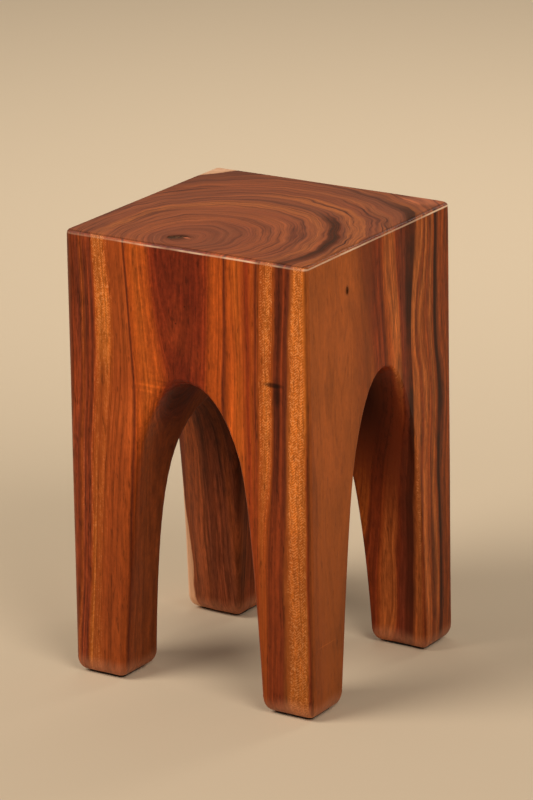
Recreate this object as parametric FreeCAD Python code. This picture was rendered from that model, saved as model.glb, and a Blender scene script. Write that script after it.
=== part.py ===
import FreeCAD, Part
import math
import os
from FreeCAD import Vector

# A side table carved from one section of a log: a square block with two arched
# tunnels that cross under the top and leave four legs.
# Sizes are in millimetres. The origin is on the floor under the middle of the block.
# +Z is up, +X runs along the front face to the right, +Y runs from the front face to the back.

# Block
block_width = 273.0  # along X
block_depth = 268.0  # along Y
table_height = 450.0  # from the floor, pads included
right_face_lean = 4.5  # how far the right face leans in at the top

# Arched tunnels. Each outline is drawn from four widths a side, measured from the middle:
# at the floor, at the knee, at the shoulder and at the head.
arch_foot_half_width = 79.0  # on the front face and the right face
arch_knee_height = 217.0  # the side runs straight from the floor towards the knee
arch_shoulder_height = 268.0  # the curve is drawn in towards the shoulder

# Front tunnel, alike on both sides and the higher one inside
front_knee_half_width = 66.5
front_shoulder_half_width = 51.5
front_head_half_width = 22.5  # the curve levels out over the head
front_arch_height = 315.0
front_arch_narrowing = 8.0  # on each side, from the front face to the back face

# Mouth of the side tunnel on the right face, fuller on the side towards the back
side_front_knee = 59.0
side_front_shoulder = 45.0
side_front_head = 13.0
side_back_knee = 67.5
side_back_shoulder = 51.5
side_back_head = 23.5
side_arch_height = 317.5

# Inside, the side tunnel is lower, with one outline beside the right legs
# and another, set forward, beside the left legs
throat_offset = 62.0  # of both outlines from the middle, along X
right_throat_height = 288.0
right_throat_knee_height = 104.5
right_throat_shoulder_height = 243.0
right_throat_front_foot = 79.0
right_throat_front_knee = 71.0
right_throat_front_shoulder = 42.0
right_throat_front_head = 12.0
right_throat_back_foot = 80.0
right_throat_back_knee = 78.8
right_throat_back_shoulder = 49.3
right_throat_back_head = 20.5
left_throat_height = 264.0
left_throat_knee_height = 115.0
left_throat_shoulder_height = 232.0
left_throat_front_foot = 76.5
left_throat_front_knee = 81.0
left_throat_front_shoulder = 74.0
left_throat_front_head = 24.0
left_throat_back_foot = 67.0
left_throat_back_knee = 54.0
left_throat_back_shoulder = 47.0
left_throat_back_head = 2.0
left_arch_height = 295.0  # on the left face, where the outline is drawn taller
left_arch_back_knee = 64.0  # and fuller towards the back

# Eased edges
side_edge_radius = 6.0  # upright outer corners
top_edge_radius = 5.0
foot_edge_radius = 8.0
rim_edge_radius = 6.0  # round the mouths of the tunnels
groin_edge_radius = 3.0  # where the tunnels meet inside

# Felt pads under the feet
pad_thickness = 2.5
pad_margin = 0.5  # from the edge of the foot's flat
pad_corner_radius = 6.0

# Filled pith on the top, a drop with a tail that points right and back
pith_offset = -30.0  # from the middle, along X
pith_set_back = 26.0  # from the front face
pith_radius = 5.5
pith_tail_length = 15.0  # from the centre of the drop to its tip
pith_tail_angle = 48.0  # degrees, from +X towards +Y
pith_depth = 12.0

# Open pin knot on the right face
knot_set_back = 73.7  # from the front face
knot_below_top = 41.0
knot_length = 8.0
knot_width = 2.6
knot_depth = 5.0

# How far cutting shapes run past the faces that they cut
overcut = 5.0
# How far a point may lie from a plane and still count as on it
touch = 0.01

half_width = block_width / 2
half_depth = block_depth / 2
lean_slope = right_face_lean / (table_height - pad_thickness)


def right_face_x(height):
    return half_width - lean_slope * (height - pad_thickness)


def arch_side(widths, knee_height, shoulder_height, crown):
    """One side of an arch, as spline poles from below the floor up to the head."""
    foot, knee, shoulder, head = widths
    run_out = (foot - knee) / knee_height * overcut
    # The middle of a cubic spline takes 1/48 from each shoulder and 23/48 from each end of the head
    head_height = (24 * crown - shoulder_height) / 23
    return [(foot + run_out, -overcut), (knee, knee_height), (shoulder, shoulder_height), (head, head_height)]


def arch_wire(near, far, place):
    """Closed outline of a tunnel, drawn through place(across, height)."""
    far_side = [(-across, height) for across, height in reversed(far)]
    poles = [place(across, height) for across, height in near + far_side]
    arch = Part.BSplineCurve()
    arch.buildFromPolesMultsKnots(poles, [4, 1, 1, 1, 1, 4], [0, 1, 2, 3, 4, 5], False, 3)
    sill = Part.makeLine(poles[-1], poles[0])
    return Part.Wire([arch.toShape(), sill])


def front_outline(narrowing, along):
    foot = arch_foot_half_width - narrowing
    keep = foot / arch_foot_half_width
    widths = [foot, front_knee_half_width - narrowing, front_shoulder_half_width * keep, front_head_half_width * keep]
    side = arch_side(widths, arch_knee_height, arch_shoulder_height, front_arch_height)
    return arch_wire(side, side, lambda across, height: Vector(across, along, height))


def front_tunnel():
    start = -half_depth - overcut
    end = half_depth + overcut
    return Part.makeLoft([front_outline(0, start), front_outline(front_arch_narrowing, end)], True, True)


def side_outline(back, front, levels, along):
    """An outline of the side tunnel, from its widths on both sides and the heights of knee, shoulder and crown."""
    return arch_wire(arch_side(back, *levels), arch_side(front, *levels), lambda across, height: Vector(along, across, height))


def right_mouth():
    back = [arch_foot_half_width, side_back_knee, side_back_shoulder, side_back_head]
    front = [arch_foot_half_width, side_front_knee, side_front_shoulder, side_front_head]
    return side_outline(back, front, [arch_knee_height, arch_shoulder_height, side_arch_height], half_width + overcut)


def right_throat():
    back = [right_throat_back_foot, right_throat_back_knee, right_throat_back_shoulder, right_throat_back_head]
    front = [right_throat_front_foot, right_throat_front_knee, right_throat_front_shoulder, right_throat_front_head]
    return side_outline(back, front, [right_throat_knee_height, right_throat_shoulder_height, right_throat_height], throat_offset)


def left_outline(crown, back_knee, along):
    """The throat beside the left legs, or the same outline drawn taller and fuller."""
    keep = crown / left_throat_height
    back = [left_throat_back_foot, back_knee, left_throat_back_shoulder, left_throat_back_head]
    front = [left_throat_front_foot, left_throat_front_knee, left_throat_front_shoulder, left_throat_front_head]
    return side_outline(back, front, [left_throat_knee_height * keep, left_throat_shoulder_height * keep, crown], along)


def side_tunnel():
    outlines = [
        right_mouth(),
        right_throat(),
        left_outline(left_throat_height, left_throat_back_knee, -throat_offset),
        left_outline(left_arch_height, left_arch_back_knee, -half_width - overcut),
    ]
    return Part.makeLoft(outlines, True, False)


def blank():
    """The squared block, with its right face leaning in."""
    corners = [
        Vector(-half_width, -half_depth, pad_thickness),
        Vector(half_width, -half_depth, pad_thickness),
        Vector(right_face_x(table_height), -half_depth, table_height),
        Vector(-half_width, -half_depth, table_height),
    ]
    outline = Part.makePolygon(corners + corners[:1])
    return Part.Face(outline).extrude(Vector(0, block_depth, 0))


def edge_radius(edge):
    """The easing that an edge of the carved block takes."""
    span = edge.LastParameter - edge.FirstParameter
    points = [edge.valueAt(edge.FirstParameter + span * step / 4) for step in range(5)]

    def lies(distance):
        return all(abs(distance(point)) < touch for point in points)

    if lies(lambda point: point.z - table_height):
        return top_edge_radius
    if lies(lambda point: point.z - pad_thickness):
        return foot_edge_radius
    faces = 0
    faces += lies(lambda point: point.y + half_depth)
    faces += lies(lambda point: point.y - half_depth)
    faces += lies(lambda point: point.x + half_width)
    faces += lies(lambda point: point.x - right_face_x(point.z))
    if faces == 2:
        return side_edge_radius
    if faces == 1:
        return rim_edge_radius
    return groin_edge_radius


def eased(solid):
    """Rounds all the edges in one go, each with its own radius."""
    document = FreeCAD.newDocument("table")
    carved = document.addObject("Part::Feature", "carved")
    carved.Shape = solid
    rounding = document.addObject("Part::Fillet", "rounding")
    rounding.Base = carved
    radii = [edge_radius(edge) for edge in carved.Shape.Edges]
    rounding.Edges = [(number, radius, radius) for number, radius in enumerate(radii, 1)]
    document.recompute()
    return rounding.Shape.Solids[0]


def pith_outline(height):
    """A drop: most of a circle, drawn out to a tip."""
    centre = Vector(pith_offset, -half_depth + pith_set_back, height)
    heading = math.radians(pith_tail_angle)
    swing = math.acos(pith_radius / pith_tail_length)

    def on_circle(angle):
        return centre + Vector(math.cos(angle), math.sin(angle), 0) * pith_radius

    tip = centre + Vector(math.cos(heading), math.sin(heading), 0) * pith_tail_length
    first = on_circle(heading + swing)
    last = on_circle(heading - swing)
    round_end = Part.Arc(first, on_circle(heading + math.pi), last).toShape()
    return Part.Face(Part.Wire([round_end, Part.makeLine(last, tip), Part.makeLine(tip, first)]))


def pith_filler():
    return pith_outline(table_height - pith_depth).extrude(Vector(0, 0, pith_depth))


def knot_hole():
    """A pointed oval, cut square into the right face."""
    height = table_height - knot_below_top
    along = -half_depth + knot_set_back
    floor = right_face_x(height) - knot_depth

    def at(across, up):
        return Vector(floor, along + across, height + up)

    top = at(0, knot_length / 2)
    bottom = at(0, -knot_length / 2)
    left = Part.Arc(bottom, at(-knot_width / 2, 0), top).toShape()
    right = Part.Arc(top, at(knot_width / 2, 0), bottom).toShape()
    return Part.Face(Part.Wire([left, right])).extrude(Vector(knot_depth + overcut, 0, 0))


def foot_pad(toward_x, toward_y):
    """A felt pad cut to the flat of one foot, inside its eased edge."""
    middle = (half_width + arch_foot_half_width) / 2
    along_front = (toward_y * middle + half_depth) / block_depth
    left_foot = left_throat_back_foot if toward_y > 0 else left_throat_front_foot
    inset = foot_edge_radius + pad_margin
    inner_x = arch_foot_half_width - front_arch_narrowing * along_front + inset
    right_foot = max(arch_foot_half_width, right_throat_back_foot if toward_y > 0 else right_throat_front_foot)
    inner_y = (right_foot if toward_x > 0 else left_foot) + inset
    size_x = half_width - inset - inner_x
    size_y = half_depth - inset - inner_y
    corner_x = min(toward_x * inner_x, toward_x * (inner_x + size_x))
    corner_y = min(toward_y * inner_y, toward_y * (inner_y + size_y))
    sheet = Part.makeBox(size_x, size_y, pad_thickness, Vector(corner_x, corner_y, 0))
    uprights = [edge for edge in sheet.Edges if abs(edge.Vertexes[0].Z - edge.Vertexes[-1].Z) > touch]
    return sheet.makeFillet(pad_corner_radius, uprights)


carved = blank().cut(front_tunnel()).cut(side_tunnel())
filler = pith_filler()
pieces = {
    "carved_block": eased(carved).cut(filler).cut(knot_hole()),
    "pith_filler": filler,
    "front_foot_pad": foot_pad(1, -1),
    "left_foot_pad": foot_pad(-1, -1),
    "right_foot_pad": foot_pad(1, 1),
    "back_foot_pad": foot_pad(-1, 1),
}

os.makedirs("parts", exist_ok=True)
for name, shape in pieces.items():
    shape.exportStep("parts/" + name + ".step")
    print(name, "valid", shape.isValid(), "solids", len(shape.Solids), "volume", round(shape.Volume, 1))
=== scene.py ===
import math
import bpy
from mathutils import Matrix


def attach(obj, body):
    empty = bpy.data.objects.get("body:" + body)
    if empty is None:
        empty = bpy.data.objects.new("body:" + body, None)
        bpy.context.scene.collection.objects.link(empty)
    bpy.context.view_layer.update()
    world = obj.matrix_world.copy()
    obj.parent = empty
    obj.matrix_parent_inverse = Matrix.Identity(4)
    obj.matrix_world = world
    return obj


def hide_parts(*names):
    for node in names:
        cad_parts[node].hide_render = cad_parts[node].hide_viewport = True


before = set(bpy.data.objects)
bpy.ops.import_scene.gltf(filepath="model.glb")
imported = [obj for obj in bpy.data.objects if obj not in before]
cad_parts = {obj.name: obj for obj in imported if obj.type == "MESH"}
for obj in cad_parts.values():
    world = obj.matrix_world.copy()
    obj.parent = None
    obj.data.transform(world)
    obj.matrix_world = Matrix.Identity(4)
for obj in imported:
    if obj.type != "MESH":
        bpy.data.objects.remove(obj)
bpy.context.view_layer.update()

from types import SimpleNamespace
import bpy
from mathutils import Matrix, Vector, kdtree, noise

# A side table carved from one log section: X along the front face, Y to the back, Z up, metres.


# small helpers, used by every piece

sortFrom = (0.2137, -0.3171, 0.5413)  # a place that has no two points equally far away


def clearSelection():
    if bpy.context.object and bpy.context.object.mode != "OBJECT":
        bpy.ops.object.mode_set(mode="OBJECT")
    bpy.ops.object.select_all(action="DESELECT")


def takeUp(piece):
    clearSelection()
    piece.select_set(True)
    bpy.context.view_layer.objects.active = piece


def editAll(piece):
    takeUp(piece)
    bpy.ops.object.mode_set(mode="EDIT")
    bpy.ops.mesh.select_all(action="SELECT")


def startPicking(piece, kind):
    editAll(piece)
    bpy.ops.mesh.select_mode(type=kind)
    bpy.ops.mesh.select_all(action="DESELECT")
    bpy.ops.object.mode_set(mode="OBJECT")


def editEdges(piece, rule):
    startPicking(piece, "EDGE")
    places = [vertex.co for vertex in piece.data.vertices]
    for edge in piece.data.edges:
        edge.select = rule(places[edge.vertices[0]], places[edge.vertices[1]])
    bpy.ops.object.mode_set(mode="EDIT")


def editFaces(piece, rule):
    startPicking(piece, "FACE")
    for face in piece.data.polygons:
        face.select = rule(face.center, face.normal)
    bpy.ops.object.mode_set(mode="EDIT")


def settle(piece):
    takeUp(piece)
    bpy.ops.object.transform_apply(location=True, rotation=True, scale=True)


def smoothShade(piece, degrees):
    takeUp(piece)
    bpy.ops.object.shade_smooth_by_angle(angle=math.radians(degrees))


def applyModifier(piece, kind, **options):
    takeUp(piece)
    modifier = piece.modifiers.new(kind.lower(), kind)
    for name, option in options.items():
        setattr(modifier, name, option)
    bpy.ops.object.modifier_apply(modifier=modifier.name)


def cutAway(piece, cutter):
    applyModifier(piece, "BOOLEAN", operation="DIFFERENCE", solver="EXACT", object=cutter)
    bpy.data.objects.remove(cutter, do_unlink=True)
    # a cut leaves its points in no set order, so they are sorted
    cursor = bpy.context.scene.cursor
    cursor.location = sortFrom
    editAll(piece)
    bpy.ops.mesh.sort_elements(type="CURSOR_DISTANCE", elements={"VERT", "EDGE", "FACE"})
    cursor.location = (0, 0, 0)
    clearSelection()


def dress(piece, material):
    piece.data.materials.clear()
    piece.data.materials.append(material)


def srgb(red, green, blue):
    parts = [part / 255 for part in (red, green, blue)]
    linear = [part / 12.92 if part <= 0.04045 else ((part + 0.055) / 1.055) ** 2.4 for part in parts]
    return tuple(linear) + (1.0,)


# camera at the photograph's angle

cameraView = {
    "azimuth": 0.5633,  # radians, round from the front face
    "elevation": 0.31198,
    "roll": -0.01211,
    "distance": 4.06627,
    "target": (0.002565, 0.001606, 0.263717),
    "focal": 4194.0,  # pixels, in an image 800 pixels high
    "imageHeight": 800,
    "sensor": 36,
    "clipEnd": 60,
}


def setCamera(view):
    azimuth, elevation, roll = view["azimuth"], view["elevation"], view["roll"]
    level = math.cos(elevation)
    back = Vector((math.sin(azimuth) * level, -math.cos(azimuth) * level, math.sin(elevation)))
    right = Vector((math.cos(azimuth), math.sin(azimuth), 0))
    up = back.cross(right)
    turnedRight = right * math.cos(roll) + up * math.sin(roll)
    turnedUp = up * math.cos(roll) - right * math.sin(roll)
    place = Vector(view["target"]) + back * view["distance"]
    bpy.ops.object.camera_add(location=place)
    camera = bpy.context.object
    axes = Matrix((turnedRight, turnedUp, back)).transposed()
    camera.matrix_world = Matrix.Translation(place) @ axes.to_4x4()
    camera.data.sensor_width = view["sensor"]
    camera.data.lens = view["focal"] / view["imageHeight"] * view["sensor"]
    camera.data.clip_end = view["clipEnd"]
    bpy.context.scene.camera = camera


setCamera(cameraView)
print("camera set")


# floor and studio light

studio = {
    "floorSize": 14.0,
    "floorColour": srgb(212, 192, 164),
    "floorRoughness": 0.85,
    "floorSpecular": 0.2,
    "worldColour": srgb(255, 246, 234),
    "worldStrength": 0.13,
    # name, place, where it points, size, watts, colour
    "lamps": [
        ("keyLamp", (-1.68, -2.32, 3.1), (0, 0, 0.3), 2.2, 106, srgb(255, 248, 238)),
        ("fillLamp", (2.9, -1.7, 2.9), (0, 0, 0.3), 2.4, 82, srgb(255, 247, 238)),
        ("backLamp", (-0.6, 1.3, 2.6), (-1.9, 4.6, 0), 1.8, 56, srgb(255, 249, 240)),
        ("rimLamp", (0.8, 2.1, 1.6), (0, 0, 0.4), 0.7, 8, srgb(255, 249, 240)),
    ],
}


def setStudio(plan):
    bpy.ops.mesh.primitive_plane_add(size=plan["floorSize"], location=(0, 0, 0))
    floor = bpy.context.object
    floor.name = "studioFloor"
    finish = bpy.data.materials.new("paleFloor")
    finish.use_nodes = True
    shader = finish.node_tree.nodes["Principled BSDF"]
    shader.inputs["Base Color"].default_value = plan["floorColour"]
    shader.inputs["Roughness"].default_value = plan["floorRoughness"]
    shader.inputs["Specular IOR Level"].default_value = plan["floorSpecular"]
    dress(floor, finish)
    world = bpy.data.worlds.new("studioWorld")
    bpy.context.scene.world = world
    world.use_nodes = True
    sky = world.node_tree.nodes["Background"]
    sky.inputs["Color"].default_value = plan["worldColour"]
    sky.inputs["Strength"].default_value = plan["worldStrength"]
    for name, place, aim, size, watts, colour in plan["lamps"]:
        bpy.ops.object.light_add(type="AREA", location=place)
        lamp = bpy.context.object
        lamp.name = name
        lamp.data.shape = "DISK"
        lamp.data.size = size
        lamp.data.energy = watts
        lamp.data.color = colour[:3]
        lamp.rotation_euler = (Vector(aim) - Vector(place)).to_track_quat("-Z", "Y").to_euler()


setStudio(studio)
bpy.context.scene.view_settings.view_transform = "Standard"
print("studio set")


# the carved block

blockShape = {
    "width": 0.273, "depth": 0.268, "bottom": 0.0025, "top": 0.45,
    "lean": 0.0045,  # of the right face, at the top
    "topEdge": 0.005, "sideEdge": 0.006, "rimEdge": 0.0045, "edgeSteps": 5,
    "sharpBend": 0.5,  # radians, an edge that turns less isn't eased
    # the softer rim on the left of the front arch, where it fades in, and its share near the floor
    "softRim": 0.0105, "softAcross": (0.03, -0.035), "softUp": (0.03, 0.17), "softLow": 0.3,
    # the arris where the tunnels meet: its reach, its rounding at the floor and above, and where that grows
    "groinReach": 0.011, "groinLow": 0.005, "groinHigh": 0.0085, "groinRise": (0.04, 0.24),
    "groinLevel": 0.18,  # below this height it's rounded sideways only
    "groinSteps": 6,
    "footInset": 0.0075, "footRise": 0.0135, "footMargin": 0.02,
    "footLevels": [0.0031, 0.0044, 0.0064, 0.009, 0.0122, 0.016],
    # each foot, from its lowest to its highest X and Y
    "feet": [(0.079, 0.1365, -0.134, -0.079), (-0.1365, -0.0785, -0.134, -0.0765),
             (0.0715, 0.1365, 0.079, 0.134), (-0.1365, -0.0715, 0.067, 0.134)],
    # cuts that carry the hand-worked surface: spacing, columns on each side, rows
    "grid": 0.015, "gridColumns": 17, "gridRows": 30, "gridTouch": 0.0002,
    "weld": 0.00003, "gridWeld": 0.0003,
    # how far the surface dips at most, the scales of its noise, and the shares of even, broad and close dips
    "handWork": 0.0006, "broadScale": (14, 14, 8), "closeScale": (45, 45, 22), "closeShift": (3.1, 7.7, 1.9),
    "dipShares": (0.5, 0.38, 0.12),
    # and how far more along the front and right top edges
    "edgeWork": 0.0007, "edgeScale": 38, "edgeShift": 5.3, "edgeShare": 0.4,
    "edgeBelow": (0.008, 0.003), "edgeIn": (-0.012, -0.004), "edgeLean": 0.004,
    "smoothAngle": 40, "normalWeight": 80,
}

# outlines along each tunnel: place, widths at the floor, knee, shoulder and head on each side,
# heights of knee, shoulder and crown
frontTunnel = {
    "outlines": [
        (-0.139, (0.079, 0.0665, 0.0515, 0.0225), (0.079, 0.0665, 0.0515, 0.0225), (0.217, 0.268, 0.315)),
        (0.139, (0.071, 0.0585, 0.0463, 0.0202), (0.071, 0.0585, 0.0463, 0.0202), (0.217, 0.268, 0.315)),
    ],
    "slices": [],
}
sideTunnel = {
    "outlines": [
        (0.1415, (0.079, 0.0675, 0.0515, 0.0235), (0.079, 0.059, 0.045, 0.013), (0.217, 0.268, 0.3175)),
        (0.062, (0.080, 0.0788, 0.0493, 0.0205), (0.079, 0.071, 0.042, 0.012), (0.1045, 0.243, 0.288)),
        (-0.062, (0.067, 0.054, 0.047, 0.002), (0.0765, 0.081, 0.074, 0.024), (0.115, 0.232, 0.264)),
        (-0.1415, (0.067, 0.064, 0.047, 0.002), (0.0765, 0.081, 0.074, 0.024), (0.1285, 0.2592, 0.295)),
    ],
    "slices": [0.105, 0.09, 0.048, -0.048, -0.09, -0.105],
}
overcut = 0.004  # how far the cutters run past the outer faces
sillDrop = 0.005  # and below the floor
mouthLevel = 0.2  # height at which the place of a leaning face is read
rimTurns = [76, 57, 38, 19, 0]  # degrees round the eased rim, from the outer face inwards
archLevels = [-sillDrop] + [0.015 * step for step in range(1, 15)]
crownShares = [0.18, 0.36, 0.52, 0.66, 0.77, 0.86, 0.93, 0.975]
splineSpans = 5
splineKnots = [0, 0, 0, 0, 1, 2, 3, 4, 5, 5, 5, 5]
searchSteps = 40


def rightFaceX(shape, height):
    share = (height - shape["bottom"]) / (shape["top"] - shape["bottom"])
    return shape["width"] / 2 - shape["lean"] * share


def archPoles(near, far, heights):
    # from the sill over the crown to the other sill
    kneeHeight, shoulderHeight, crown = heights
    # the middle of the spline takes 1/48 from each shoulder and 23/48 from each end of the head
    headHeight = (24 * crown - shoulderHeight) / 23

    def side(widths):
        foot, knee, shoulder, head = widths
        sill = foot + (foot - knee) / kneeHeight * sillDrop
        return [(sill, -sillDrop), (knee, kneeHeight), (shoulder, shoulderHeight), (head, headHeight)]

    return [Vector(pole) for pole in side(near)] + [Vector((-across, up)) for across, up in reversed(side(far))]


def splinePoint(poles, along):
    span = min(int(along), splineSpans - 1)
    points = [poles[span + step].copy() for step in range(4)]
    for level in range(1, 4):
        for step in range(3, level - 1, -1):
            low = splineKnots[span + step]
            high = splineKnots[span + step + 4 - level]
            points[step] = points[step - 1].lerp(points[step], (along - low) / (high - low))
    return points[3]


def polesAt(outlines, where):
    # drawn smoothly through the given outlines
    poles = [Vector((0, 0)) for count in range(8)]
    for outline in outlines:
        weight = 1.0
        for other in outlines:
            if other is not outline:
                weight *= (where - other[0]) / (outline[0] - other[0])
        for spot, pole in enumerate(archPoles(*outline[1:])):
            poles[spot] += pole * weight
    return poles


def widthAt(poles, height, farSide):
    def point(along):
        return splinePoint(poles, splineSpans - along if farSide else along)

    low, high = 0.0, splineSpans / 2
    for halving in range(searchSteps):
        middle = (low + high) / 2
        if point(middle).y < height:
            low = middle
        else:
            high = middle
    return point(low).x


def outlineAt(outlines, where):
    poles = polesAt(outlines, where)
    crown = splinePoint(poles, splineSpans / 2)
    highest = archLevels[-1]
    levels = archLevels + [highest + (crown.y - highest) * share for share in crownShares]
    near = [(widthAt(poles, level, False), level) for level in levels]
    far = [(widthAt(poles, level, True), level) for level in reversed(levels)]
    return near + [tuple(crown)] + far


def fade(amount, low, high):
    share = min(1.0, max(0.0, (amount - low) / (high - low)))
    return share * share * (3 - 2 * share)


def rimRadius(shape, tunnel, mouth, across, up):
    if tunnel is frontTunnel and mouth == 0:
        least = shape["softLow"]
        soft = fade(across, *shape["softAcross"]) * (least + (1 - least) * fade(up, *shape["softUp"]))
        return shape["rimEdge"] + (shape["softRim"] - shape["rimEdge"]) * soft
    return shape["rimEdge"]


def mouthSlice(shape, tunnel, mouth, turn):
    # one line round the eased rim of a mouth, or past the outer face
    inward = 1 if (tunnel is frontTunnel) == (mouth == 0) else -1

    def face(up):
        if tunnel is frontTunnel:
            return -inward * shape["depth"] / 2
        return rightFaceX(shape, up) if mouth == 0 else -shape["width"] / 2

    outline = outlineAt(tunnel["outlines"], face(mouthLevel))
    points = []
    for spot, (across, up) in enumerate(outline):
        before, after = outline[max(0, spot - 1)], outline[min(len(outline) - 1, spot + 1)]
        run = Vector((after[0] - before[0], after[1] - before[1])).normalized()
        radius = rimRadius(shape, tunnel, mouth, across, up)
        angle = math.radians(rimTurns[0] if turn is None else turn)
        depth, out = radius * (1 - math.sin(angle)), radius * (1 - math.cos(angle))
        if turn is None:
            depth, out = -overcut, out + (depth + overcut) * math.tan(angle)
        points.append((face(up) + inward * depth, across + run.y * out, up - run.x * out))
    return points


def tunnelCutter(shape, tunnel, place):
    # a disc drawn out slice by slice, then each slice is brought to its outline
    slices = [mouthSlice(shape, tunnel, 0, turn) for turn in [None] + rimTurns]
    for where in tunnel["slices"]:
        slices.append([(where, across, up) for across, up in outlineAt(tunnel["outlines"], where)])
    slices += [mouthSlice(shape, tunnel, 1, turn) for turn in rimTurns[::-1] + [None]]
    bpy.ops.mesh.primitive_circle_add(vertices=len(slices[0]), radius=0.1, fill_type="NGON")
    cutter = bpy.context.object

    def onDisc(vertex):
        return round(vertex.co.x, 5), round(vertex.co.y, 5)

    spots = {onDisc(vertex): vertex.index for vertex in cutter.data.vertices}
    editAll(cutter)
    for count in range(1, len(slices)):
        bpy.ops.mesh.extrude_region_move(TRANSFORM_OT_translate={"value": (0, 0, 1)})
    bpy.ops.object.mode_set(mode="OBJECT")
    for vertex in cutter.data.vertices:
        vertex.co = place(*slices[round(vertex.co.z)][spots[onDisc(vertex)]])
    editAll(cutter)
    bpy.ops.mesh.normals_make_consistent(inside=False)
    clearSelection()
    return cutter


def outerFaces(shape, point):
    touch = 0.00002
    return (
        abs(point.z - shape["top"]) < touch,
        abs(point.z - shape["bottom"]) < touch,
        abs(point.y + shape["depth"] / 2) < touch,
        abs(point.y - shape["depth"] / 2) < touch,
        abs(point.x + shape["width"] / 2) < touch,
        abs(point.x - rightFaceX(shape, point.z)) < touch,
    )


def edgeEasing(shape, shared):
    onTop, onBottom = shared[:2]
    if onBottom:
        return 0.0
    if onTop:
        return shape["topEdge"]
    return shape["sideEdge"] if sum(shared) == 2 else 0.0


def makeBlock(shape):
    clearSelection()
    height = shape["top"] - shape["bottom"]
    bpy.ops.mesh.primitive_cube_add(
        size=1, location=(0, 0, shape["bottom"] + height / 2), scale=(shape["width"], shape["depth"], height))
    block = bpy.context.object
    block.name = "carvedBlock"
    settle(block)
    for vertex in block.data.vertices:
        if vertex.co.x > 0:
            vertex.co.x = rightFaceX(shape, vertex.co.z)
    cutAway(block, tunnelCutter(shape, frontTunnel, lambda along, across, up: (across, along, up)))
    cutAway(block, tunnelCutter(shape, sideTunnel, lambda along, across, up: (along, across, up)))
    editAll(block)
    bpy.ops.mesh.remove_doubles(threshold=shape["weld"])
    bpy.ops.mesh.normals_make_consistent(inside=False)
    clearSelection()
    print("block cut", len(block.data.vertices), "points")

    # every outer edge is eased by its own amount, and the groins are noted for later
    groins = []
    facing = {}
    for face in block.data.polygons:
        for key in face.edge_keys:
            facing.setdefault(key, []).append(face.normal.copy())
    places = [vertex.co for vertex in block.data.vertices]
    easing = block.data.attributes.new("bevel_weight_edge", "FLOAT", "EDGE")
    steps = shape["groinSteps"]
    for edge in block.data.edges:
        sides = facing[edge.key]
        bend = sides[0].angle(sides[1]) if len(sides) == 2 else 0.0
        if bend < shape["sharpBend"]:
            continue
        first, second = places[edge.vertices[0]], places[edge.vertices[1]]
        shared = [one and two for one, two in zip(outerFaces(shape, first), outerFaces(shape, second))]
        easing.data[edge.index].value = edgeEasing(shape, shared) / shape["sideEdge"]
        if not any(shared):
            groins += [first.lerp(second, count / steps) for count in range(steps + 1)]
    applyModifier(
        block, "BEVEL", width=shape["sideEdge"], segments=shape["edgeSteps"], limit_method="WEIGHT",
        offset_type="OFFSET", use_clamp_overlap=False, loop_slide=True, miter_outer="MITER_SHARP")
    print("block eased", len(block.data.vertices), "points")
    return block, groins


def gridCuts(piece, axis, places, touch):
    for place in places:
        editAll(piece)
        point, normal = Vector((0, 0, 0)), Vector((0, 0, 0))
        point[axis], normal[axis] = place, 1.0
        bpy.ops.mesh.bisect(plane_co=point, plane_no=normal, use_fill=False, threshold=touch)
    clearSelection()


def wallStops(tunnel, start, end):
    places = [start] + tunnel["slices"] + [end]
    return [(where, [Vector(point) for point in outlineAt(tunnel["outlines"], where)]) for where in places]


def wallAt(stops, where):
    # the outline there, drawn straight between the slices as the cutter is
    for (first, firstLine), (second, secondLine) in zip(stops, stops[1:]):
        if min(first, second) <= where <= max(first, second):
            break
    share = (where - first) / (second - first)
    return [one.lerp(two, share) for one, two in zip(firstLine, secondLine)]


def wallDistance(walls, stops, where, point):
    # how far a point lies in the wood, and the way straight into it
    spot = round(where, 3)
    if spot not in walls:
        walls[spot] = wallAt(stops, spot)
    nearest, gap, into = 1.0, 0.0, Vector((0, 0))
    for first, second in zip(walls[spot], walls[spot][1:]):
        run = second - first
        share = min(1.0, max(0.0, (point - first).dot(run) / run.length_squared))
        offset = point - first - run * share
        if offset.length < nearest:
            nearest = offset.length
            into = Vector((run.y, -run.x)).normalized()
            gap = offset.dot(into)
    return max(0.0, gap), into


def softenGroins(piece, shape, groins):
    # the arris where the tunnels meet is cut finer and rounded
    tree = kdtree.KDTree(len(groins))
    for count, point in enumerate(groins):
        tree.insert(point, count)
    tree.balance()

    def close(point):
        return tree.find(point)[2] < shape["groinReach"]

    editFaces(piece, lambda centre, normal: normal.z > -0.999 and close(centre))
    bpy.ops.mesh.quads_convert_to_tris(quad_method="BEAUTY", ngon_method="BEAUTY")
    bpy.ops.mesh.subdivide(number_cuts=2)
    clearSelection()
    frontWalls, sideWalls = {}, {}
    frontStops = wallStops(frontTunnel, -shape["depth"] / 2, shape["depth"] / 2)
    sideStops = wallStops(sideTunnel, shape["width"] / 2, -shape["width"] / 2)
    for vertex in piece.data.vertices:
        place = vertex.co.copy()
        if close(place):
            first, firstInto = wallDistance(frontWalls, frontStops, place.y, place.xz)
            second, secondInto = wallDistance(sideWalls, sideStops, place.x, place.yz)
            growth = (shape["groinHigh"] - shape["groinLow"]) * fade(place.z, *shape["groinRise"])
            soft = shape["groinLow"] + growth
            nearness = max(0.0, 1 - abs(first - second) / soft)
            lean = min(1.0, max(0.0, 0.5 + (second - first) / soft / 2))
            frontInto, sideInto = Vector((firstInto.x, 0, firstInto.y)), Vector((0, secondInto.x, secondInto.y))
            into = frontInto * lean + sideInto * (1 - lean)
            if place.z < shape["groinLevel"]:
                into.z = 0.0
            vertex.co = place + into * (nearness * nearness * soft / 4 / into.length_squared)
    print("groins rounded", len(piece.data.vertices), "points")


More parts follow.
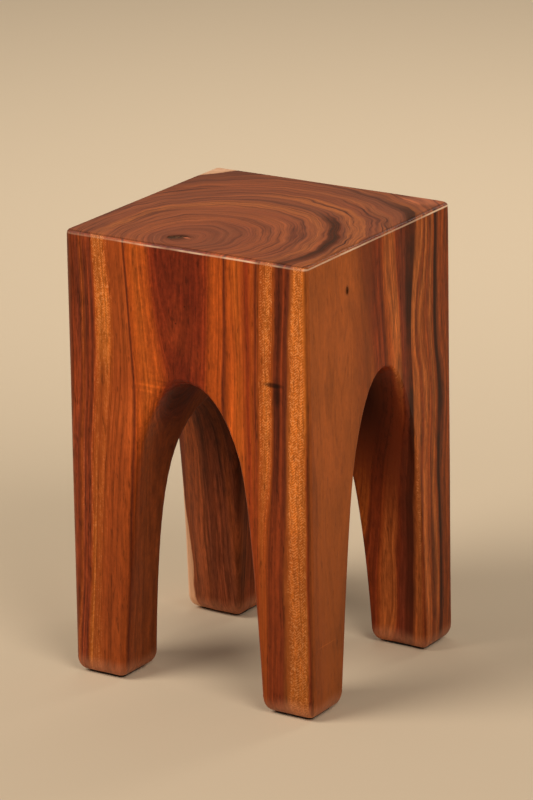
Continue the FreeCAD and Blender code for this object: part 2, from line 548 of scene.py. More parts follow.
def easeFeet(piece, shape):
    # the legs are drawn in towards their middles over the last few millimetres
    start, margin = shape["bottom"] + shape["footRise"], shape["footMargin"]
    for vertex in piece.data.vertices:
        x, y, z = vertex.co
        if z >= start:
            continue
        depth = min(1.0, (start - z) / shape["footRise"])
        drawn = shape["footInset"] * (1 - math.sqrt(1 - depth * depth))
        for lowX, highX, lowY, highY in shape["feet"]:
            if lowX - margin < x < highX + margin and lowY - margin < y < highY + margin:
                middleX, middleY = (lowX + highX) / 2, (lowY + highY) / 2
                vertex.co.x = middleX + (x - middleX) * (1 - 2 * drawn / (highX - lowX))
                vertex.co.y = middleY + (y - middleY) * (1 - 2 * drawn / (highY - lowY))


def dipAt(shape, place):
    # shallow dips as from a hand plane and sanding, more of them along the front and right top edges
    evenShare, broadShare, closeShare = shape["dipShares"]
    broad = noise.noise(place * Vector(shape["broadScale"]))
    close = noise.noise(place * Vector(shape["closeScale"]) + Vector(shape["closeShift"]))
    dip = shape["handWork"] * (evenShare + broadShare * broad + closeShare * close)
    below, above = (shape["top"] - drop for drop in shape["edgeBelow"])
    atSide = max(-place.y - shape["depth"] / 2, place.x - shape["width"] / 2 + shape["edgeLean"])
    onEdge = fade(place.z, below, above) * fade(atSide, *shape["edgeIn"])
    wave = noise.noise(Vector((place.x * shape["edgeScale"], place.y * shape["edgeScale"], shape["edgeShift"])))
    return max(0.0, dip + shape["edgeWork"] * onEdge * max(0.0, shape["edgeShare"] + wave))


def workSurface(piece, shape, groins):
    step, columns, touch = shape["grid"], shape["gridColumns"], shape["gridTouch"]
    for axis in (0, 1):
        gridCuts(piece, axis, [step * count / 2 for count in range(-columns, columns + 1)], touch)
    gridCuts(piece, 2, shape["footLevels"] + [step * count for count in range(2, shape["gridRows"])], touch)
    editAll(piece)
    bpy.ops.mesh.remove_doubles(threshold=shape["gridWeld"])
    softenGroins(piece, shape, groins)
    easeFeet(piece, shape)
    piece.data.update()
    normals = [vertex.normal.copy() for vertex in piece.data.vertices]
    for vertex, normal in zip(piece.data.vertices, normals):
        if vertex.co.z > shape["bottom"] + touch:
            vertex.co -= normal * dipAt(shape, vertex.co)
    print("surface worked", len(piece.data.vertices), "points")


block, groins = makeBlock(blockShape)
workSurface(block, blockShape, groins)


# the filled pith, a drop set in the top

pithShape = {
    "centre": (-0.030, -0.108), "radius": 0.0055, "tail": 0.015, "heading": math.radians(48),
    "top": 0.4494, "depth": 0.0114, "dish": 0.0005,
    "pocket": 0.012, "above": 0.004,  # the cutter's reach below and above the top of the block
    "play": 0.00005, "steps": 60, "smoothAngle": 40,
    # each step of the dish: how much of the width it keeps, and its share of the depth
    "dishSteps": [(0.86, 0.25), (0.72, 0.4), (0.5, 0.35)],
}


def makeDrop(plan, radius, low, high):
    centreX, centreY = plan["centre"]
    bpy.ops.mesh.primitive_cylinder_add(
        vertices=plan["steps"], radius=radius, depth=high - low, location=(centreX, centreY, (low + high) / 2))
    drop = bpy.context.object
    settle(drop)
    swing = math.acos(plan["radius"] / plan["tail"])
    for vertex in drop.data.vertices:
        offset = Vector((vertex.co.x - centreX, vertex.co.y - centreY))
        turn = (math.atan2(offset.y, offset.x) - plan["heading"] + math.pi) % (2 * math.pi) - math.pi
        stretched = 1 / math.cos(swing - abs(turn)) if abs(turn) < swing else 1.0
        vertex.co.x = centreX + offset.x * stretched
        vertex.co.y = centreY + offset.y * stretched
    return drop


def makeFiller(plan):
    top, radius = plan["top"], plan["radius"] - plan["play"]
    made = makeDrop(plan, radius, top - plan["depth"], top)
    made.name = "pithFiller"
    editFaces(made, lambda centre, normal: normal.z > 0.9)
    for keep, share in plan["dishSteps"]:
        bpy.ops.mesh.extrude_region_move(TRANSFORM_OT_translate={"value": (0, 0, -plan["dish"] * share)})
        bpy.ops.transform.resize(value=(keep, keep, 1), center_override=plan["centre"] + (top,))
    smoothShade(made, plan["smoothAngle"])
    return made


pocketLow, pocketHigh = blockShape["top"] - pithShape["pocket"], blockShape["top"] + pithShape["above"]
cutAway(block, makeDrop(pithShape, pithShape["radius"], pocketLow, pocketHigh))
filler = makeFiller(pithShape)
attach(filler, "root")
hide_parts("pith_filler")
print("pith filled")


# the open pin knot on the right face

knotShape = {
    "place": (-0.0603, 0.409), "width": 0.0026, "length": 0.008, "depth": 0.005, "segments": 24, "rings": 16,
}


def openKnot(piece, shape, plan):
    along, up = plan["place"]
    bpy.ops.mesh.primitive_uv_sphere_add(
        segments=plan["segments"], ring_count=plan["rings"], radius=1,
        location=(rightFaceX(shape, up), along, up),
        scale=(plan["depth"], plan["width"] / 2, plan["length"] / 2))
    pit = bpy.context.object
    settle(pit)
    cutAway(piece, pit)


openKnot(block, blockShape, knotShape)
smoothShade(block, blockShape["smoothAngle"])
applyModifier(block, "WEIGHTED_NORMAL", keep_sharp=True, weight=blockShape["normalWeight"])
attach(block, "root")
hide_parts("carved_block")
print("block finished", len(block.data.vertices), "points")


# felt pads under the feet

padShape = {
    "thickness": 0.0025, "corner": 0.006, "cornerSteps": 6, "softEdge": 0.0006, "softSteps": 3,
    "level": 0.0001,  # an edge that rises less is flat
    "smoothAngle": 50,
    # node, lowest and highest X, lowest and highest Y
    "places": [
        ("front_foot_pad", 0.08672, 0.128, -0.1255, -0.0875),
        ("left_foot_pad", -0.128, -0.08672, -0.1255, -0.085),
        ("right_foot_pad", 0.08028, 0.128, 0.0885, 0.1255),
        ("back_foot_pad", -0.128, -0.08028, 0.0755, 0.1255),
    ],
}


def makePad(plan, node, lowX, highX, lowY, highY):
    thick, level = plan["thickness"], plan["level"]
    bpy.ops.mesh.primitive_cube_add(
        size=1, location=((lowX + highX) / 2, (lowY + highY) / 2, thick / 2),
        scale=(highX - lowX, highY - lowY, thick))
    pad = bpy.context.object
    pad.name = node.replace("_foot_pad", "FootPad")
    settle(pad)
    editEdges(pad, lambda first, second: abs(first.z - second.z) > level)
    bpy.ops.mesh.bevel(offset=plan["corner"], segments=plan["cornerSteps"], affect="EDGES")
    editEdges(pad, lambda first, second: abs(first.z - second.z) < level)
    bpy.ops.mesh.bevel(offset=plan["softEdge"], segments=plan["softSteps"], affect="EDGES")
    smoothShade(pad, plan["smoothAngle"])
    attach(pad, "root")
    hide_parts(node)
    return pad


pads = [makePad(padShape, *place) for place in padShape["places"]]
print("pads made")


# node helpers for the materials, which add a node to the tree of the sockets that feed it

def isSocket(source):
    return isinstance(source, bpy.types.NodeSocket)


def feed(socket, source):
    if isSocket(source):
        socket.id_data.links.new(source, socket)
    else:
        socket.default_value = source


def addNode(kind, feeds, **options):
    tree = next(source.id_data for source in feeds.values() if isSocket(source))
    made = tree.nodes.new(kind)
    for name, option in options.items():
        setattr(made, name, option)
    for name, source in feeds.items():
        feed(made.inputs[name], source)
    return made


def maths(operation, first, second=0.0):
    return addNode("ShaderNodeMath", {0: first, 1: second}, operation=operation).outputs[0]


def times(first, *others):
    for other in others:
        first = maths("MULTIPLY", first, other)
    return first


def plus(first, *others):
    for other in others:
        first = maths("ADD", first, other)
    return first


def minus(first, second):
    return maths("SUBTRACT", first, second)


def rest(share):
    return minus(1.0, share)


def vectorMaths(operation, first, second=(0, 0, 0)):
    made = addNode("ShaderNodeVectorMath", {0: first, 1: second}, operation=operation)
    return made.outputs["Value" if operation in ("LENGTH", "DOT_PRODUCT") else "Vector"]


def stretch(vector, scale):
    return vectorMaths("MULTIPLY", vector, scale)


def splitVector(vector):
    return addNode("ShaderNodeSeparateXYZ", {0: vector}).outputs


def splitTone(tone):
    return addNode("ShaderNodeSeparateColor", {0: tone}).outputs


def joinParts(across, along, up):
    return addNode("ShaderNodeCombineXYZ", {"X": across, "Y": along, "Z": up}).outputs[0]


def remap(source, low, high, toLow=0.0, toHigh=1.0, curve="SMOOTHSTEP"):
    feeds = {"Value": source, "From Min": low, "From Max": high, "To Min": toLow, "To Max": toHigh}
    return addNode("ShaderNodeMapRange", feeds, interpolation_type=curve).outputs[0]


def straight(source, low, high, toLow, toHigh):
    return remap(source, low, high, toLow, toHigh, "LINEAR")


def between(source, start, full, fullEnd, end):
    # rises to one, stays there and falls again
    return times(remap(source, start, full), remap(source, end, fullEnd))


def mask(wood, **spans):
    # one remap for each reading that is named, multiplied together
    return times(*[remap(getattr(wood, name), *span) for name, span in spans.items()])


def mixTone(share, first, second, mode="MIX"):
    return addNode("ShaderNodeMix", {0: share, 6: first, 7: second}, data_type="RGBA", blend_type=mode).outputs[2]


def scaleTone(tone, amount):
    return mixTone(1.0, tone, joinParts(amount, amount, amount), "MULTIPLY")


def cloudParts(vector, detail, rough, bend=0.0):
    feeds = {"Vector": vector, "Scale": 1.0, "Detail": detail, "Roughness": rough, "Distortion": bend}
    return addNode("ShaderNodeTexNoise", feeds).outputs


def cloud(place, scale, detail, rough, bend=0.0):
    return cloudParts(stretch(place, scale), detail, rough, bend)[0]


def newGroup(name, inputs, outputs):
    tree = bpy.data.node_groups.new(name, "ShaderNodeTree")
    for way, sockets in (("INPUT", inputs), ("OUTPUT", outputs)):
        for label, kind in sockets.items():
            tree.interface.new_socket(name=label, in_out=way, socket_type="NodeSocket" + kind)
    return tree, tree.nodes.new("NodeGroupInput").outputs, tree.nodes.new("NodeGroupOutput").inputs


def useGroup(group, feeds):
    return addNode("ShaderNodeGroup", feeds, node_tree=group).outputs


def newMaterial(name):
    material = bpy.data.materials.new(name)
    material.use_nodes = True
    nodes = material.node_tree.nodes
    place = nodes.new("ShaderNodeTexCoord").outputs["Object"]
    return material, nodes["Principled BSDF"].inputs, place


def addBump(shader, height, strength, distance):
    bump = addNode("ShaderNodeBump", {"Height": height, "Strength": strength, "Distance": distance})
    feed(shader["Normal"], bump.outputs[0])


# the timber

timber = {
    "pith": (-0.022, -0.106),  # where the rings start, at the top
    "pithBack": 0.013,  # how far it runs back from the top to the arches
    "pithRight": 0.004,  # and to the right
    "pithLeft": -0.016,  # then to the left from the arches to the floor
    "sway": 0.004,  # how far it wanders
    "waver": 0.003,  # and the ring lines with it
    "leftRun": 0.012,  # how much further the outer bands at the left run on the way down
    "frontRun": 0.010,  # how far the dark band on the front leg runs inwards
    # how far the rings reach in each direction, degrees from +X
    "reach": [
        (-180, 0.70), (-150, 0.70), (-120, 0.76), (-90, 0.80), (-45, 0.90), (-12, 1.0), (0, 1.03), (15, 1.045),
        (31, 1.09), (45, 1.145), (60, 1.19), (90, 1.16), (114, 1.03), (140, 0.87), (165, 0.73), (180, 0.70)],
    "mostReach": 1.5,
    "rampEnd": 0.27,
    # streaks along the rings: fineness across them, drift along them, detail, roughness
    "streaks": {
        "Streak": (330, (9, 9, 2.2), 4.0, 0.62), "Line": (760, (34, 34, 5), 3.0, 0.6),
        "TopLine": (760, (13, 13, 0), 3.0, 0.6), "TopStrand": (210, (10, 10, 0), 4.0, 0.62),
    },
    # ripples: length, width of a fold, slope, how far folds and ripples stray, and their strength
    "ripple": {"length": 0.0027, "fold": 0.0034, "slope": 0.9, "foldStray": 0.006, "stray": 0.009, "strength": 0.4},
    "barkWay": (-0.832, 0.555, 0.0),
    "tones": {
        "pithDark": srgb(74, 38, 22), "deepRed": srgb(110, 36, 15), "brickRed": srgb(140, 50, 19),
        "redBrown": srgb(132, 54, 23), "orange": srgb(174, 76, 22), "amber": srgb(185, 88, 27),
        "gold": srgb(208, 112, 38), "darkLine": srgb(96, 36, 16), "nearBlack": srgb(86, 34, 17),
        "purpleBrown": srgb(104, 44, 25), "midBrown": srgb(158, 72, 26), "warmBrown": srgb(164, 84, 36),
        "olive": srgb(54, 21, 9), "tan": srgb(176, 94, 42), "brown": srgb(128, 60, 28),
    },
    "legTone": srgb(150, 62, 23),
    "sapwood": srgb(240, 190, 152),
    "sapStreak": srgb(206, 144, 100),
    "besideSapwood": srgb(100, 58, 42),
    "ringStrand": srgb(76, 45, 38),
    "darkRing": srgb(62, 42, 28),
    # a tint for the top, partly its own tone and partly a painted reflection
    "topTintAndReflection": srgb(160, 95, 65),
    # tones for the painted shade in the hollows
    "innerShadeTone": srgb(142, 56, 24),
    "hollowShadeTone": srgb(136, 74, 45),
    # pale tone for the worn feet and for the painted highlight on the corners
    "wornFootAndCornerHighlight": srgb(196, 132, 96),
    # pale tone for the painted highlight along the top edges, with a little wear
    "wornAndHighlitEdge": srgb(250, 212, 176),
    "paleFleck": srgb(226, 158, 100),
    # ring radius in millimetres and tone, on the side towards the right and on the side towards the left
    "rightBands": [
        (0, "pithDark"), (5, "redBrown"), (20, "brickRed"), (30, "deepRed"), (50, "deepRed"), (58, "brickRed"),
        (63, "orange"), (73.5, "orange"), (76, "darkLine"), (78.5, "orange"), (87, "amber"), (97, "brickRed"),
        (101, "orange"), (104.5, "darkLine"), (109, "amber"), (117, "gold"), (122, "amber"), (126, "nearBlack"),
        (131, "nearBlack"), (133.5, "redBrown"), (137, "purpleBrown"), (142, "gold"), (155, "gold"),
        (157.5, "redBrown"), (164, "redBrown"), (166, "darkLine"), (168, "midBrown"), (170.5, "tan"),
        (176.5, "tan"), (178.5, "redBrown"), (180, "darkLine"), (182, "purpleBrown")],
    "outerBands": [
        (0, "purpleBrown"), (182, "purpleBrown"), (185.5, "purpleBrown"), (187.5, "olive"), (193, "olive"),
        (195, "tan"), (198.5, "tan"), (200, "redBrown"), (202.5, "tan"), (206, "midBrown"), (208, "brown"),
        (210.5, "tan"), (212, "midBrown"), (214, "olive"), (216, "olive"), (218, "brown"), (223, "midBrown"),
        (227, "brown"), (236, "midBrown"), (240, "darkLine"), (246, "brown"), (255, "brown")],
    "leftBands": [
        (0, "pithDark"), (5, "redBrown"), (20, "brickRed"), (29, "deepRed"), (40, "deepRed"), (45, "brickRed"),
        (50, "orange"), (62, "amber"), (76, "orange"), (79, "darkLine"), (82, "midBrown"), (102, "midBrown"),
        (106, "amber"), (110, "gold"), (120, "gold"), (124.5, "amber"), (127, "redBrown"), (130, "purpleBrown"),
        (134, "redBrown"), (138, "purpleBrown"), (143, "midBrown"), (148, "purpleBrown"), (157, "redBrown"),
        (165, "darkLine"), (171, "midBrown"), (182, "orange"), (188, "amber"), (194, "redBrown"),
        (200, "darkLine"), (210, "amber"), (222, "brown"), (230, "darkLine")],
    # marks: centre, reach, how much darker or lighter
    "marks": [
        ((0.0955, -0.134, 0.3306), (0.0145, 0.02, 0.0036), 0.26),  # dark bar on the front face
        ((0.1, -0.134, 0.321), (0.0055, 0.02, 0.015), 0.55),
        ((-0.040, -0.134, 0.3085), (0.026, 0.02, 0.0022), 1.32),  # ripple beside the front arch
        ((-0.046, -0.134, 0.3025), (0.016, 0.02, 0.0018), 1.26),
        ((-0.030, -0.134, 0.3145), (0.014, 0.02, 0.0016), 0.80),
        ((-0.0118, -0.134, 0.3745), (0.0013, 0.02, 0.0013), 0.35),  # specks
        ((-0.0015, -0.134, 0.3925), (0.0012, 0.02, 0.0012), 0.35),
        ((0.131, -0.0603, 0.409), (0.008, 0.0042, 0.0066), 0.2),  # stain in the pin knot
        ((0.135, -0.108, 0.0727), (0.02, 0.024, 0.0008), 1.35),  # scratch on the right face
        ((-0.027, -0.1065, 0.4495), (0.017, 0.017, 0.01), 0.52),  # stain round the pith
        ((-0.021, -0.1005, 0.4495), (0.012, 0.006, 0.01), 0.62),
        ((-0.0175, -0.1035, 0.4495), (0.0050, 0.0022, 0.01), 4.2),  # painted highlight beside it, a glint on the edge of the pith crack
        ((-0.066, -0.134, 0.272), (0.016, 0.03, 0.055), 1.22),  # painted highlight beside the front arch, the sheen of its rounded rim
        ((-0.0715, 0.098, 0.012), (0.014, 0.05, 0.055), 1.6),  # worn inner side of the back foot
        ((-0.0700, 0.066, 0.045), (0.010, 0.010, 0.060), 0.5),  # dark arris of the back leg
        ((0.108, 0.122, 0.4495), (0.034, 0.020, 0.01), 1.9),  # tan corner of the top
        ((0.1335, 0.034, 0.350), (0.02, 0.013, 0.040), 1.5),  # gold over the right arch
    ],
    "specular": 0.09, "coat": 0.06, "coatRoughness": 0.18,
    "bump": (0.12, 0.0004),  # strength and height
}


def reachOf(look, turn):
    reach = addNode("ShaderNodeFloatCurve", {"Value": turn})
    points = reach.mapping.curves[0].points
    last = len(look["reach"]) - 1
    for spot, (degrees, amount) in enumerate(look["reach"]):
        where = ((degrees + 180) / 360, amount / look["mostReach"])
        if spot in (0, last):
            points[0 if spot == 0 else -1].location = where
        else:
            points.new(*where)
    reach.mapping.update()
    return times(reach.outputs[0], look["mostReach"])


def logRings(look):
    # distance from the wandering pith, with the rings drawn out to one side
    tree, given, made = newGroup(
        "logRings", {"Vector": "Vector"}, {"Radius": "Float", "Right": "Float", "Away": "Vector"})
    place = given["Vector"]
    across, along, up = splitVector(place)
    pithX, pithY = look["pith"]
    sway, waver = look["sway"], look["waver"]
    swayParts = splitTone(cloudParts(stretch(place, (11, 11, 3.2)), 1.0, 0.5)[1])
    swayAcross, swayAlong = [straight(part, 0.2, 0.8, -sway, sway) for part in swayParts[:2]]
    pithAcross = plus(
        straight(up, 0.45, 0.30, pithX, pithX + look["pithRight"]),
        times(remap(up, 0.30, 0.0, 0.0, look["pithLeft"]), remap(across, 0.05, -0.08)))
    pithAlong = remap(up, 0.46, 0.28, pithY, pithY + look["pithBack"])
    fromAcross = plus(minus(across, pithAcross), swayAcross)
    fromAlong = plus(minus(along, pithAlong), swayAlong)
    away = joinParts(fromAcross, fromAlong, 0.0)
    distance = vectorMaths("LENGTH", away)
    turn = straight(maths("ARCTAN2", fromAlong, fromAcross), -math.pi, math.pi, 0, 1)
    radius = maths("DIVIDE", distance, reachOf(look, turn))
    # fine waver of the ring lines
    wave = cloud(place, (40, 40, 7), 1.0, 0.4)
    radius = plus(radius, straight(wave, 0.2, 0.8, -waver, waver))
    # the outer rings close in a little on the way down from the top
    radius = plus(radius, times(remap(radius, 0.172, 0.205), remap(up, 0.45, 0.30, -0.006, 0.011)))
    # but spread again near the right corner
    radius = minus(radius, times(remap(radius, 0.190, 0.222), remap(up, 0.42, 0.25, 0.0, 0.010)))
    # and those right of the middle open a little
    middle = times(remap(radius, 0.115, 0.085), remap(up, 0.45, 0.30), remap(across, -0.02, 0.03))
    radius = minus(radius, times(middle, 0.0055))
    # the dark band on the front leg runs inwards on the way down
    inwards = times(
        between(radius, 0.098, 0.114, 0.123, 0.145), remap(across, 0.055, 0.085), remap(along, -0.05, -0.09))
    radius = plus(radius, times(inwards, remap(up, 0.31, 0.12, 0.0, look["frontRun"])))
    # the bands at the left run outwards on the way down
    right = remap(maths("DIVIDE", fromAcross, maths("MAXIMUM", distance, 0.001)), -0.35, 0.35)
    atLeft = times(rest(right), remap(radius, 0.080, 0.112), remap(along, -0.04, -0.10))
    run = times(remap(up, 0.40, 0.20, 0.0, look["leftRun"]), remap(up, 0.0, 0.17, 0.85, 1.0))
    radius = minus(radius, times(atLeft, run))
    feed(made["Radius"], radius)
    feed(made["Right"], right)
    feed(made["Away"], vectorMaths("NORMALIZE", away))
    return tree


def fibreStreaks(look):
    # streaks along the rings, fibres that run up the log, and the open pores among them
    names = list(look["streaks"]) + ["Fibre", "Pore", "Patch"]
    tree, given, made = newGroup(
        "fibreStreaks", {"Vector": "Vector", "Radius": "Float"}, dict.fromkeys(names, "Float"))
    place = given["Vector"]
    for name, (fineness, drift, detail, rough) in look["streaks"].items():
        line = joinParts(times(given["Radius"], fineness), 0.0, 0.0)
        feed(made[name], cloudParts(vectorMaths("ADD", line, stretch(place, drift)), detail, rough)[0])
    feed(made["Fibre"], cloud(place, (300, 300, 42), 4.0, 0.72))
    feed(made["Pore"], remap(cloud(place, (400, 400, 60), 2.0, 0.6), 0.58, 0.70))
    feed(made["Patch"], cloud(place, (15, 15, 12), 3.0, 0.55))
    return tree


def rippleFigure(look):
    # fine ripples across the grain that lean one way and then the other from ring to ring
    tree, given, made = newGroup("rippleFigure", {"Vector": "Vector", "Radius": "Float"}, {"Fleck": "Float"})
    place = given["Vector"]
    stray = cloud(place, (170, 170, 120), 2.0, 0.6)
    zigzag = maths("PINGPONG", plus(given["Radius"], times(stray, look["foldStray"])), look["fold"])
    lean = plus(times(zigzag, look["slope"]), times(stray, look["stray"]))
    wave = maths("SINE", times(plus(splitVector(place)[2], lean), 2 * math.pi / look["length"]))
    speck = cloud(place, (420, 420, 330), 2.0, 0.6)
    feed(made["Fleck"], plus(times(wave, look["strength"]), straight(speck, 0.3, 0.7, 0.0, 1.0)))
    return tree


def softSpot():
    tree, given, made = newGroup(
        "softSpot", dict.fromkeys(("Vector", "Centre", "Reach"), "Vector"), {"Mask": "Float"})
    offset = vectorMaths("SUBTRACT", given["Vector"], given["Centre"])
    distance = vectorMaths("LENGTH", vectorMaths("DIVIDE", offset, given["Reach"]))
    feed(made["Mask"], remap(distance, 1.0, 0.3))
    return tree


def bandRamp(look, bands, share):
    ramp = addNode("ShaderNodeValToRGB", {0: share})
    stops = ramp.color_ramp.elements
    for count, (radius, tone) in enumerate(bands):
        where = radius / 1000 / look["rampEnd"]
        stop = stops[count] if count < 2 else stops.new(where)
        stop.position = where
        stop.color = look["tones"][tone]
    return ramp.outputs[0]


def readWood(look, place):
    # what the stages of the finish share
    wood = SimpleNamespace(place=place)
    wood.across, wood.along, wood.up = splitVector(place)
    wood.facing = place.id_data.nodes.new("ShaderNodeNewGeometry").outputs["Normal"]
    wood.facingX, wood.facingY, wood.upward = splitVector(wood.facing)
    wood.endGrain = remap(wood.upward, 0.55, 0.95)
    wood.radius, wood.right, wood.away = useGroup(logRings(look), {"Vector": place})
    ringed = {"Vector": place, "Radius": wood.radius}
    fibres = useGroup(fibreStreaks(look), ringed)
    wood.streak, wood.line, wood.topLine, wood.topStrand, wood.fibre, wood.pore, wood.patch = fibres
    wood.fleck = useGroup(rippleFigure(look["ripple"]), ringed)["Fleck"]
    # how deep in the hollows a place lies
    wood.deep = maths(
        "MINIMUM", minus(blockShape["width"] / 2, maths("ABSOLUTE", wood.across)),
        minus(blockShape["depth"] / 2, maths("ABSOLUTE", wood.along)))
    wood.within = times(remap(wood.deep, 0.003, 0.014), rest(wood.endGrain))
    wood.hollow = times(remap(wood.deep, 0.006, 0.045), wood.within)
    wood.leftLeg = mask(wood, across=(-0.02, -0.06), along=(0.04, -0.02))
    # strips and faces that have a look of their own
    wood.atLeft = times(rest(wood.right), remap(wood.along, -0.10, -0.125))
    wood.sideFace = mask(wood, facingX=(0.45, 0.85), across=(0.118, 0.126), along=(-0.008, -0.022))
    wood.low = mask(wood, up=(0.30, 0.10, 0.0, 0.62), along=(0.03, -0.06), across=(-0.02, 0.05))
    # the sapwood lies past a line across the far left corner
    edge = plus(
        straight(wood.up, 0.02, 0.235, 0.1405, 0.147), straight(wood.up, 0.235, 0.45, 0.0, 0.016),
        straight(wood.patch, 0.3, 0.7, -0.002, 0.002), straight(wood.fibre, 0.3, 0.7, -0.0006, 0.0006))
    wood.past = minus(vectorMaths("DOT_PRODUCT", place, look["barkWay"]), edge)
    wood.sap = remap(wood.past, -0.0008, 0.0008)
    return wood


def bandTone(wood, look):
    tones = look["tones"]
    share = maths("DIVIDE", wood.radius, look["rampEnd"])
    right, outer, left = [
        bandRamp(look, look[name], share) for name in ("rightBands", "outerBands", "leftBands")]
    right = mixTone(remap(wood.radius, 0.180, 0.184), right, outer)
    tone = mixTone(wood.right, left, right)
    # the gold at the left narrows to a line below the top
    gold = times(
        wood.atLeft, between(wood.radius, 0.100, 0.106, 0.116, 0.121), remap(wood.up, 0.37, 0.27, 0.0, 0.75))
    tone = mixTone(gold, tone, tones["midBrown"])
    goldLine = times(
        wood.atLeft, between(wood.radius, 0.112, 0.118, 0.126, 0.130),
        between(wood.up, 0.12, 0.19, 0.29, 0.36), 0.65)
    tone = mixTone(goldLine, tone, tones["midBrown"])
    # and the strip beside the left corner is dark above and paler below
    above = times(remap(wood.radius, 0.144, 0.155), remap(wood.up, 0.35, 0.40), -0.4)
    below = times(between(wood.radius, 0.126, 0.131, 0.142, 0.150), remap(wood.up, 0.30, 0.22, 0.0, 0.3))
    tone = scaleTone(tone, plus(1.0, times(plus(above, below), wood.atLeft)))
    # the bands come and go, and fade on the way down the front legs
    legTone = look["legTone"]
    tone = mixTone(remap(wood.patch, 0.42, 0.68, 0.0, 0.34), tone, legTone)
    tone = mixTone(wood.low, tone, legTone, "LIGHTEN")
    tone = mixTone(times(wood.low, remap(wood.radius, 0.126, 0.120, 0.0, 1.2)), tone, legTone)
    # the near half of the right face is plain
    plain = mixTone(remap(wood.along, -0.062, -0.025), tones["warmBrown"], tones["brown"])
    plain = scaleTone(plain, straight(wood.patch, 0.3, 0.7, 0.80, 1.24))
    return mixTone(times(wood.sideFace, 0.86), tone, plain)


def addGrain(wood, look, tone):
    # coarser inside, on the far half of the right face and beside the left corner
    coarse = times(wood.within, rest(times(wood.leftLeg, 0.8)))
    coarse = maths("MAXIMUM", coarse, mask(wood, facingX=(0.45, 0.85), along=(-0.05, 0.03)))
    coarse = maths("MAXIMUM", coarse, times(wood.atLeft, remap(wood.radius, 0.119, 0.127)))
    # streaks within the bands, then fibres and pores
    line = straight(wood.line, 0.3, 0.7, straight(coarse, 0, 1, 0.80, 0.62), straight(coarse, 0, 1, 1.20, 1.38))
    fibre = straight(wood.fibre, 0.28, 0.72, straight(coarse, 0, 1, 0.72, 0.52), straight(coarse, 0, 1, 1.28, 1.48))
    wood.grain = times(straight(wood.streak, 0.3, 0.7, 0.66, 1.34), line, fibre)
    grain = times(wood.grain, straight(wood.pore, 0, 1, 1.0, 0.62))
    calm = rest(times(wood.sideFace, 0.45))
    tone = scaleTone(tone, maths("POWER", grain, calm))
    # mottled where the front face is cut flat to the rings
    mottle = cloud(wood.place, (260, 260, 190), 3.0, 0.7)
    dark, light = remap(wood.radius, 0.05, 0.09, 0.78, 0.92), remap(wood.radius, 0.05, 0.09, 1.22, 1.08)
    return scaleTone(tone, straight(mottle, 0.3, 0.7, dark, light))


def addRipple(wood, look, tone):
    # on the golden bands, where the face is cut along the radius
    flat = maths("ABSOLUTE", vectorMaths("DOT_PRODUCT", wood.facing, wood.away))
    quarter = times(remap(flat, 0.75, 0.25), rest(wood.endGrain))
    golden = times(remap(splitTone(tone)[0], 0.34, 0.54), remap(wood.radius, 0.098, 0.106))
    figured = scaleTone(tone, straight(wood.fleck, 0, 1, 0.66, 1.2))
    figured = mixTone(remap(wood.fleck, 0.5, 1.1, 0.0, 0.52), figured, look["paleFleck"])
    plainLow = times(wood.low, remap(wood.radius, 0.130, 0.122, 0.0, 1.6))
    tone = mixTone(times(quarter, golden, rest(plainLow)), tone, figured)
    return scaleTone(tone, rest(times(wood.low, golden, 0.2)))


def addEndGrain(wood, look, tone):
    # on the top: a hazier tint, partly the end grain's own tone and partly a painted reflection, with fine dark
    # strands along the rings and two dark rings that show on one side
    towardsX, towardsY = splitVector(wood.away)[:2]
    dark = plus(between(wood.radius, 0.122, 0.128, 0.133, 0.139), between(wood.radius, 0.185, 0.190, 0.194, 0.200))
    dark = times(
        dark, remap(towardsY, 0.93, 0.75), remap(towardsX, 0.2, 0.5), remap(wood.along, -0.132, -0.08, 0.5, 1.0))
    # painted reflection: the hazy tint mixed over the whole top
    top = mixTone(minus(0.66, times(dark, 0.5)), tone, look["topTintAndReflection"])
    strand = plus(remap(wood.topStrand, 0.48, 0.68, 0.0, 0.56), remap(wood.topLine, 0.49, 0.66, 0.0, 0.58))
    strand = times(strand, remap(wood.radius, 0.02, 0.11, 0.55, 1.0))
    top = mixTone(strand, top, look["ringStrand"])
    top = scaleTone(top, remap(wood.topStrand, 0.5, 0.25, 1.0, 1.3))
    top = mixTone(times(dark, remap(wood.topLine, 0.35, 0.65, 0.45, 0.8)), top, look["darkRing"])
    return mixTone(wood.endGrain, tone, top)


def darkenBesideSapwood(wood, look, tone):
    start = straight(wood.endGrain, 0, 1, -0.022, -0.06)
    return mixTone(remap(wood.past, start, -0.002, 0.0, 0.6), tone, look["besideSapwood"])


def addMarks(wood, look, tone):
    spot = softSpot()
    for centre, reach, amount in look["marks"]:
        mask = useGroup(spot, {"Vector": wood.place, "Centre": centre, "Reach": reach})["Mask"]
        tone = scaleTone(tone, straight(mask, 0, 1, 1.0, amount))
    return tone


